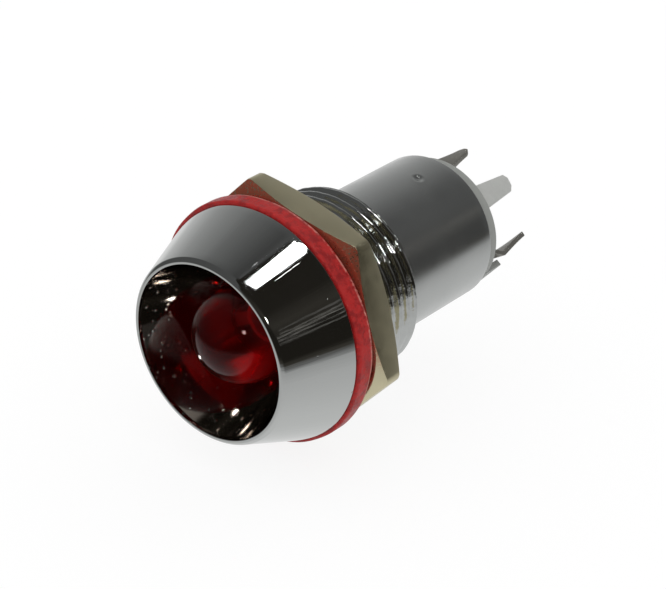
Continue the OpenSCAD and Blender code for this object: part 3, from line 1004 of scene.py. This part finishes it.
@dataclass
class HexNut:
    """Thin hexagon nut with a chamfer on both faces and a bevelled bore, in millimetres and degrees."""

    front: float
    rear: float
    flat_r: float = 9.7
    chamfer_r: float = 9.6
    face_r: float = 9.0
    bore_r: float = 8.06
    bore_bevel: float = 0.6
    edge: float = 0.07
    chamfer_degrees: float = 22.0
    turn: float = -13.5
    worn_corner: float = 0.12
    rings: int = 288

    def build(self) -> None:
        """Makes the nut: the outline's radius is flat_r over the cosine of the angle from the flat's middle.

        Half the section runs from the bore to the flat, by radius and depth below the face. The other half
        is its mirror image.
        """
        angle = np.linspace(0.0, 360.0, self.rings, endpoint=False)
        off_flat = np.radians((angle - self.turn) % 60.0 - 30.0)
        corner_r = self.flat_r / math.cos(math.radians(30)) - self.worn_corner
        outline = np.minimum(self.flat_r / np.cos(off_flat), corner_r)
        slope = math.tan(math.radians(self.chamfer_degrees))
        drop = (outline - self.chamfer_r) * slope
        edge, bevel_r = self.edge, self.bore_r + self.bore_bevel
        half = [
            (self.bore_r, self.bore_bevel), (bevel_r - edge, edge), (bevel_r + edge, 0.0), (self.face_r, 0.0),
            (self.chamfer_r - edge, 0.0), (self.chamfer_r + edge, edge * slope),
            (outline - edge, drop - edge * slope), (outline - edge * 0.3, drop + edge * 0.2),
            (outline, drop + edge),
        ]
        rows = [(r, self.front + depth) for r, depth in half]
        rows += [(r, self.rear - depth) for r, depth in reversed(half)]
        radius, station = (np.stack([row[k] + 0.0 * angle for row in rows], -1) for k in (0, 1))
        grid = turned_grid(radius, station, self.rings)
        piece = make_piece("hexagon_nut", [Patch(grid, wrap_steps=True)], 25.0)
        fit_piece(piece, Body.NUT, ["hex_nut"], NICKEL)


@dataclass
class SealingWasher:
    """Red washer between the head and the panel, with a rounded and slightly uneven edge, in millimetres."""

    front: float
    rear: float
    outer_r: float
    bore_r: float = 8.06
    uneven_from: float = 9.5
    shrink: float = 0.05
    waves: Waves = ((0.03, 3, 0.6), (0.02, 7, 0.0), (0.012, 17, 2.0))
    rings: int = 240

    def build(self) -> None:
        """Makes the washer: a rounded rectangle carried round the axis, with a slow waver in its radius."""
        corners = [(self.bore_r, self.rear, 0.1), (self.bore_r, self.front, 0.1),
                   (self.outer_r, self.front, 0.25), (self.outer_r, self.rear, 0.3)]
        radius, station = resampled(rounded_path(corners, closed=True, steps=7), 0.4, closed=True).T
        angle = np.linspace(0.0, 2 * np.pi, self.rings, endpoint=False)[:, None]
        waver = wavy(angle, self.waves, 1.0) - self.shrink
        radius = radius + smoothstep(radius, self.uneven_from, self.outer_r) * waver
        grid = turned_grid(radius, station, self.rings)
        piece = make_piece("red_sealing_washer", [Patch(grid, wrap_steps=True)])
        fit_piece(piece, Body.LAMP, ["sealing_washer"], RED_WASHER)


@dataclass
class TerminalBase:
    """Moulded base in the barrel's rear end: a plug, a flange a little off centre, and a pointed lug.

    Attributes are millimetres and degrees, with stations counted from the head's rear face.
    """

    plug_front: float
    lug_tip: float
    plug_r: float = 5.4
    flange_r: float = 5.95
    flange_t: float = 1.2
    off_centre: tuple[float, float] = (0.17, -0.08)
    lug_degrees: float = -38.0
    lug_half_w: float = 0.9
    lug_t: float = 0.55
    lug_sunk: float = 0.6
    lug_blunt: float = 0.15
    rings: int = 128

    @property
    def flange_rear(self) -> float:
        """Station of the flange's rear face."""
        return self.lug_tip - LUG_HEIGHT

    def turned(self) -> Patch:
        """Plug and flange: a stepped half section, from pole to pole, turned round the flange's axis."""
        step = self.flange_rear - self.flange_t
        profile = rounded_path(
            [
                (0.0, self.plug_front, 0.0), (self.plug_r, self.plug_front, 0.1), (self.plug_r, step, 0.0),
                (self.flange_r, step, 0.06), (self.flange_r, self.flange_rear, 0.14),
                (0.0, self.flange_rear, 0.0),
            ],
            closed=False,
        )
        grid = turned_grid(*resampled(profile, 0.8, closed=False).T, self.rings)
        grid[..., [0, 2]] += self.off_centre
        return Patch(grid)

    def lug(self) -> Patch:
        """Lug at the flange's edge: a plate whose rear end is cut on a slant to a point."""
        foot, point = self.flange_rear - self.lug_sunk, self.lug_tip - self.lug_blunt
        station = np.array([foot, foot, self.flange_rear, point, point])
        along = np.array([0.0, 1.0, 1.0, 0.1, 0.0])
        section = bar_section(np.array([0.0, 1.0, 1.0, 1.0, 0.0]) * self.lug_t / 2, along * self.lug_half_w)
        out = self.flange_r - self.lug_t / 2 + section[..., 0]
        slant = (1.0 - along) * self.lug_half_w * (station > self.flange_rear)
        x, z = turned_place(out, section[..., 1] - slant[:, None], self.lug_degrees)
        x, z = x + self.off_centre[0], z + self.off_centre[1]
        return tube(np.stack([x, np.broadcast_to(station[:, None], x.shape), z], -1))

    def build(self) -> None:
        """Makes the base and dresses it."""
        piece = make_piece("insulating_base", [self.turned(), self.lug()])
        fit_piece(piece, Body.LAMP, ["terminal_base"], INSULATOR)


@dataclass
class SolderTag:
    """Sheet-metal tag: a stub in the base, a flared root, a taper to a clipped tip, a bend and a twist.

    Attributes:
        name: Node that it stands for.
        turn: Angle of its seat round the axis, in degrees.
        seat: Place of its middle in the base, away from the axis and sideways.
        bends: How far it leans out at bend_at and at the tip.
        twist: Turn about its own length at the root and at the tip, in degrees.
        sheet_t: Thickness of the sheet.
        *_half_w: Half its width at the tip, at the root, at neck_at and in the base.
        neck_at: Distance from the root at which its flare ends.
        bend_at: Distance of the bend from the root.
        clip: Length of the clipped corners at the tip.
    """

    name: str
    finish: Finish
    turn: float
    seat: tuple[float, float]
    bends: tuple[float, float]
    twist: tuple[float, float]
    sheet_t: float
    tip_half_w: float
    root_half_w: float = 1.35
    neck_half_w: float = 1.15
    stub_half_w: float = 0.7
    neck_at: float = 0.6
    bend_at: float = 1.5
    clip: float = 0.4

    def build(self) -> None:
        """Makes the tag: oblong sections along a bent line, each turned by the twist at its station."""
        start, tip = span(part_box(self.name))
        root = span(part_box("terminal_base"))[1] - LUG_HEIGHT
        station = np.concatenate([
            [start, start, root - 0.3, root - 0.01], np.linspace(root, tip - self.clip, 24), [tip, tip],
        ])
        widths = {
            root - 0.01: self.stub_half_w, root: self.root_half_w, root + self.neck_at: self.neck_half_w,
            tip - self.clip: self.tip_half_w, tip: self.tip_half_w / 2,
        }
        half_w = np.interp(station, list(widths), list(widths.values()))
        shown = np.ones(len(station))
        shown[[0, -1]] = 0.0
        section = bar_section(shown * self.sheet_t / 2, shown * half_w)
        out = np.interp(station, [root, root + self.bend_at, tip], [0.0, *self.bends])
        theta = np.radians(self.twist[0] + (self.twist[1] - self.twist[0]) * smoothstep(station, root, tip))
        cos, sin = np.cos(theta)[:, None], np.sin(theta)[:, None]
        u = self.seat[0] + out[:, None] + section[..., 0] * cos - section[..., 1] * sin
        v = self.seat[1] + section[..., 0] * sin + section[..., 1] * cos
        x, z = turned_place(u, v, self.turn)
        grid = np.stack([x, np.broadcast_to(station[:, None], x.shape), z], -1)
        piece = make_piece(self.name + "_sheet", [tube(grid)])
        fit_piece(piece, Body.LAMP, [self.name], self.finish)


SIDE_R = BARREL_BORE_R - 1.7
MIDDLE_R = BARREL_BORE_R - 1.2
SOLDER_TAGS = (
    SolderTag("solder_tag_upper", SHADED_SHEET, 130.0, (SIDE_R, 1.6), (0.0, 0.2), (52.0, 30.0), 0.5, 0.42),
    SolderTag("solder_tag_middle", TINNED_SHEET, 40.0, (MIDDLE_R, 0.0), (0.0, -0.4), (0.0, 3.0), 0.5, 0.8),
    SolderTag("solder_tag_lower", SHADED_SHEET, -50.0, (SIDE_R, -2.36), (1.0, 0.6), (12.0, -6.0), 0.42, 0.7),
)


class InnerPieces:
    """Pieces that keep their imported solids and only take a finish."""

    FINISHES = {
        "led_cathode_lead": TINNED_WIRE, "led_anode_lead": TINNED_WIRE, "led_seal": RUBBER,
        "spacer_sleeve": NYLON, "circuit_board": LAMINATE, "resistor_1_body": LACQUER,
        "resistor_1_wires": TINNED_WIRE, "resistor_2_body": LACQUER, "resistor_2_wires": TINNED_WIRE,
        "diode_body": AMBER, "diode_band": BAND, "diode_wires": TINNED_WIRE, "insulating_sleeve": FILM,
        "solder_joints": SOLDER,
    }

    def build(self, nodes: dict[str, bpy.types.Object]) -> None:
        """Puts each node's finish on it.

        Args:
            nodes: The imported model's objects by name.
        """
        for name, finish in self.FINISHES.items():
            mesh = nodes[name].data
            mesh.materials.clear()
            mesh.materials.append(finish.material())
            LOG.info("%s: finish %s", name, finish.name)


# ---------------------------------------------------------------- studio and camera


@dataclass(frozen=True)
class Glow:
    """Soft-edged patch of light in the studio's surroundings, by direction in degrees.

    Attributes:
        azimuth: Middle, from -Y towards +X.
        elevation: Middle, above the horizon.
        half_width: Half its width in azimuth.
        half_height: Half its height in elevation.
        level: Brightness inside it.
        softness: Width of its soft edge.
        tint: Its colour.
    """

    azimuth: float
    elevation: float
    half_width: float
    half_height: float
    level: float
    softness: float = 0.5
    tint: Colour = (1.0, 0.95, 0.88)


@dataclass
class Studio:
    """Pale table, lit wall on the left, dark room and ceiling light, as the polished metal shows them.

    Attributes:
        floor_height: Height of the floor, in millimetres.
        floor_r: Radius of the floor, in millimetres.
        floor_share: Share of the floor's white that takes the lamp's shadow.
        room_stops: Elevation and level of the table and the dark room.
        dark_tint: Colour of the dark room.
        wall_stops: Elevation and level of the lit wall.
        rear_level: Level of the room behind the lamp.
        soft_level: Level of the even light on matt surfaces.
        glows: Ceiling light, a compact lamp near the camera, and five slats of a blind.
    """

    floor_height: float = -11.0
    floor_r: float = 1500.0
    floor_share: float = 0.16
    room_stops: Stops = (
        (-90.0, 0.78), (-65.0, 0.75), (-30.0, 0.62), (-19.0, 0.5), (-15.0, 0.22), (-11.0, 0.06),
        (-6.0, 0.018), (15.0, 0.016), (30.0, 0.045), (45.0, 0.02), (90.0, 0.02),
    )
    dark_tint: Colour = (1.0, 0.88, 0.68)
    wall_stops: Stops = (
        (-90.0, 0.78), (-30.0, 0.8), (-12.0, 0.81), (-5.0, 0.64), (2.0, 0.585), (10.0, 0.505), (17.0, 0.425),
        (33.0, 0.323), (42.0, 0.278), (50.0, 0.214), (67.0, 0.143), (84.0, 0.08), (90.0, 0.06),
    )
    rear_level: float = 0.1
    soft_level: float = 0.85
    glows: tuple[Glow, ...] = (
        Glow(111.0, 76.3, 19.0, 5.3, 14.0, 2.0, WHITE),
        Glow(47.0, 31.0, 2.2, 2.2, 60.0, 1.0, WHITE),
        Glow(120.0, 12.0, 34.0, 0.45, 0.14),
        Glow(118.0, 15.5, 32.0, 0.4, 0.2),
        Glow(116.0, 18.5, 30.0, 0.4, 0.26),
        Glow(116.0, 21.0, 28.0, 0.35, 0.2),
        Glow(114.0, 24.5, 26.0, 0.5, 0.12),
    )

    def surroundings(self, w: Wiring) -> object:
        """Lays the rear, the wall and the glows over the room.

        Args:
            w: Wiring of the world's tree.

        Returns:
            The output with the studio's colour by direction.
        """
        x, y, z = w.parts(w.add("TexCoord").outputs["Generated"])
        azimuth = w.maths("DEGREES", w.maths("ARCTAN2", x, w.times(y, -1.0)))
        azimuth = w.maths("FLOORED_MODULO", azimuth, 360.0)
        elevation = w.maths("DEGREES", w.maths("ARCSINE", z))
        rear = w.times(w.ramp(azimuth, 122.0, 146.0), w.ramp(elevation, -14.0, -6.0))
        colour = w.levels(elevation, self.room_stops, self.dark_tint)
        colour = w.mix(rear, colour, rgba((self.rear_level,) * 3))
        on_wall = w.times(w.ramp(azimuth, 160.0, 228.0), w.ramp(azimuth, 252.0, 268.0, 1.0, 0.0))
        colour = w.mix(on_wall, colour, w.levels(elevation, self.wall_stops))
        for glow in self.glows:
            from_glow = w.maths("FLOORED_MODULO", w.maths("ADD", azimuth, 540.0 - glow.azimuth), 360.0)
            turn = w.maths("ABSOLUTE", w.maths("SUBTRACT", from_glow, 180.0))
            rise = w.maths("ABSOLUTE", w.maths("SUBTRACT", elevation, glow.elevation))
            across = w.maths("SUBTRACT", glow.half_width, turn)
            up = w.maths("SUBTRACT", glow.half_height, rise)
            half = glow.softness / 2
            inside = w.times(w.ramp(across, -half, half), w.ramp(up, -half, half))
            colour = w.mix(inside, colour, rgba(tuple(c * glow.level for c in glow.tint)))
        return colour

    def world(self) -> None:
        """White to the camera, an even soft light to matt surfaces, and the studio to metal and glass."""
        world = bpy.data.worlds.new("studio")
        bpy.context.scene.world = world
        world.use_nodes = True
        world.node_tree.nodes.clear()
        w = Wiring(world.node_tree)
        soft = w.add("Background", {"Color": rgba(WHITE), "Strength": self.soft_level})
        seen = w.add("Background", {"Color": rgba(WHITE), "Strength": 1.0})
        shown = w.add("Background", {"Color": self.surroundings(w), "Strength": 1.0})
        w.add("OutputWorld", {"Surface": w.by_ray(camera=seen, mirror=shown, others=soft)})

    def floor(self) -> None:
        """Pale floor: mostly its own white, with a small share that takes the lamp's shadow."""
        angles = np.linspace(0.0, 2 * np.pi, 96, endpoint=False)[:, None]
        radii = np.linspace(0.0, self.floor_r, 4)[None]
        height = np.full((96, 4), self.floor_height)
        grid = np.stack([radii * np.cos(angles), radii * np.sin(angles), height], -1)
        floor = make_piece("floor", [Patch(grid)])
        material, w = new_material("pale_floor")
        share = self.floor_share
        taking = w.add("BsdfDiffuse", {"Color": rgba((share,) * 3)})
        own = w.add("Emission", {"Color": rgba(WHITE), "Strength": 1.005 - share * self.soft_level})
        pale = w.add("AddShader", {0: taking.outputs[0], 1: own.outputs[0]})
        matt = w.add("BsdfDiffuse", {"Color": rgba((0.8,) * 3)})
        clear = w.add("BsdfTransparent")
        w.add("OutputMaterial", {"Surface": w.by_ray(camera=pale, mirror=clear, others=matt)})
        floor.data.materials.append(material)

    def build(self) -> None:
        """Sets the world, the floor and the view's colour handling."""
        bpy.context.scene.view_settings.view_transform = "Standard"
        self.world()
        self.floor()


@dataclass
class Viewpoint:
    """Camera that looks at the lamp from its right front, from above."""

    azimuth: float = 39.7
    elevation: float = 28.5
    distance: float = 165.0
    aim: tuple[float, float, float] = (7.62, -0.06, 5.3)
    lens: float = 118.5

    def build(self) -> None:
        """Makes the camera and gives it to the scene."""
        a, e = math.radians(self.azimuth), math.radians(self.elevation)
        back = Vector((math.sin(a) * math.cos(e), -math.cos(a) * math.cos(e), math.sin(e)))
        data = bpy.data.cameras.new("camera")
        data.lens = self.lens
        data.sensor_width = 36.0
        data.clip_start = 0.005
        camera = bpy.data.objects.new("camera", data)
        camera.location = (Vector(self.aim) + back * self.distance) * MM
        camera.rotation_mode = "QUATERNION"
        camera.rotation_quaternion = (-back).to_track_quat("-Z", "Y")
        bpy.context.scene.collection.objects.link(camera)
        bpy.context.scene.camera = camera


def main() -> None:
    """Loads the frame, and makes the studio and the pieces."""
    logging.basicConfig(level=logging.INFO, format="%(message)s")
    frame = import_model()
    Viewpoint().build()
    Studio().build()
    body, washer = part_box("bezel_body"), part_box("sealing_washer")
    BezelBody(*span(body), body[1].x / MM).build()
    RedLamp(*span(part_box("led_lens"))).build()
    HexNut(*span(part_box("hex_nut"))).build()
    SealingWasher(*span(washer), washer[1].x / MM).build()
    TerminalBase(*span(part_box("terminal_base"))).build()
    for tag in SOLDER_TAGS:
        tag.build()
    InnerPieces().build(frame["nodes"])


if __name__ == "__main__":
    main()
